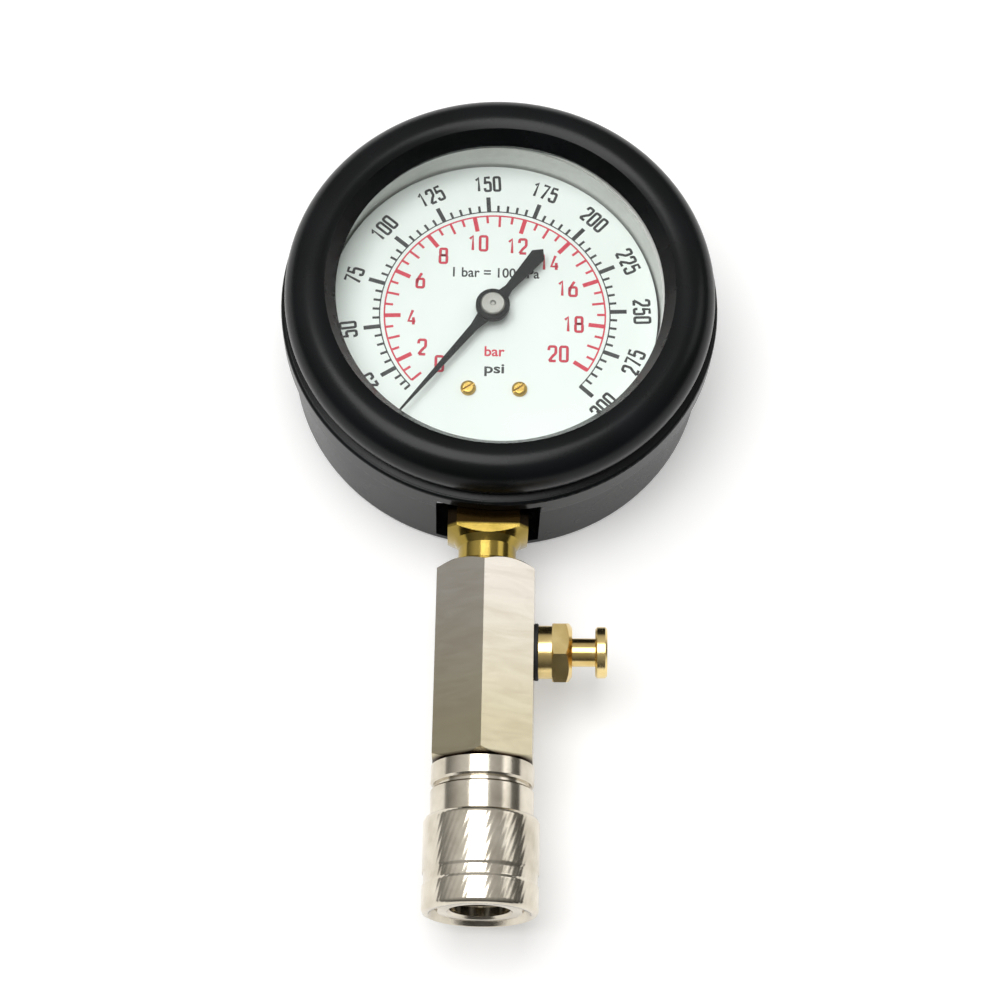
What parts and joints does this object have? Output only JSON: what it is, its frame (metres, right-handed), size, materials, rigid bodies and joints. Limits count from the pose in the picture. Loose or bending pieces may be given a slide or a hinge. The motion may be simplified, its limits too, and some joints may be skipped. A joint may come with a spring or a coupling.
{
  "type": "compression tester",
  "caption": "Round pressure gauge in a rubber boot on a hexagonal adapter, with a side release valve and a sliding-sleeve quick coupler, lying on its back.",
  "frame": {"origin": "on the pointer's axis, at the flat back face of the rubber boot", "axes": "+Z out of the dial, +Y from the coupler towards the top of the dial, +X to the side of the release valve"},
  "size_m": [0.0906, 0.1717, 0.0379],
  "materials": {
    "boot_rubber": "matt moulded",
    "seal_rubber": "matt",
    "case_steel": "satin grey paint",
    "window_glass": "clear polished",
    "dial_white": "white enamel with printed scales",
    "pointer_black": "matt black",
    "silver": "turned",
    "brass": "turned, bright",
    "copper": "plain sheet",
    "nickel": "bright nickel plate"
  },
  "bodies": {
    "gauge": {"rubber_boot": "boot_rubber", "case": "case_steel", "case_screws": "silver", "bezel_ring": "case_steel", "window": "window_glass", "window_gasket": "seal_rubber", "dial": "dial_white", "dial_screws": "brass", "dial_spacers": "brass", "gauge_socket": "brass", "socket_washer": "copper", "pressure_tube": "brass", "tube_tip": "brass", "tip_pin": "silver", "lower_plate": "brass", "upper_plate": "brass", "plate_pillars": "brass", "plate_screws": "brass", "movement_screw": "brass", "hairspring": "brass", "hairspring_post": "brass", "adapter_body": "nickel", "valve_gasket": "seal_rubber", "valve_body": "brass", "valve_spring": "silver", "coupler_body": "nickel", "coupler_seal": "seal_rubber", "locking_balls": "silver", "snap_ring": "silver", "sleeve_spring": "silver", "pin_spring": "silver"},
    "pointer": {"pointer": "pointer_black", "pointer_cap": "silver", "pinion_arbor": "silver", "hairspring_collet": "brass"},
    "sector": {"sector_gear": "brass", "sector_arbor": "silver", "tail_pin": "silver"},
    "link": {"link": "silver"},
    "valve_button": {"valve_button": "brass", "valve_seal": "seal_rubber"},
    "coupler_sleeve": {"coupler_sleeve": "nickel"},
    "coupler_pin": {"coupler_pin": "brass"}
  },
  "joints": [
    {"name": "sector_turn", "type": "hinge", "parent": "gauge", "child": "sector", "pos_m": [0.01299, -0.0075, 0.0171], "axis": [0, 0, 1], "range_deg": [0, 25.09], "stiffness_Nm_per_rad": 0.02},
    {"name": "pointer_turn", "type": "hinge", "parent": "gauge", "child": "pointer", "pos_m": [0, 0, 0.0256], "axis": [0, 0, 1], "range_deg": [-276.5, 0.5]},
    {"name": "link_swing", "type": "hinge", "parent": "sector", "child": "link", "pos_m": [0.01982, -0.00902, 0.016], "axis": [0, 0, 1], "range_deg": [-32.6, 0.5]},
    {"name": "valve_press", "type": "slide", "parent": "gauge", "child": "valve_button", "axis": [-0.9986, 0, -0.0523], "range_m": [0, 0.0025], "stiffness_N_per_m": 800, "springref_m": -0.003, "deforming": ["valve_spring"]},
    {"name": "sleeve_pull", "type": "slide", "parent": "gauge", "child": "coupler_sleeve", "axis": [0, 1, 0], "range_m": [0, 0.004], "stiffness_N_per_m": 1500, "springref_m": -0.003, "deforming": ["sleeve_spring"]},
    {"name": "pin_push", "type": "slide", "parent": "gauge", "child": "coupler_pin", "axis": [0, 1, 0], "range_m": [0, 0.003], "stiffness_N_per_m": 600, "springref_m": -0.004, "deforming": ["pin_spring"]}
  ],
  "couplings": [
    {"joint": "pointer_turn", "follows": "sector_turn", "ratio": -11},
    {"joint": "link_swing", "follows": "sector_turn", "ratio": -1.28}
  ]
}
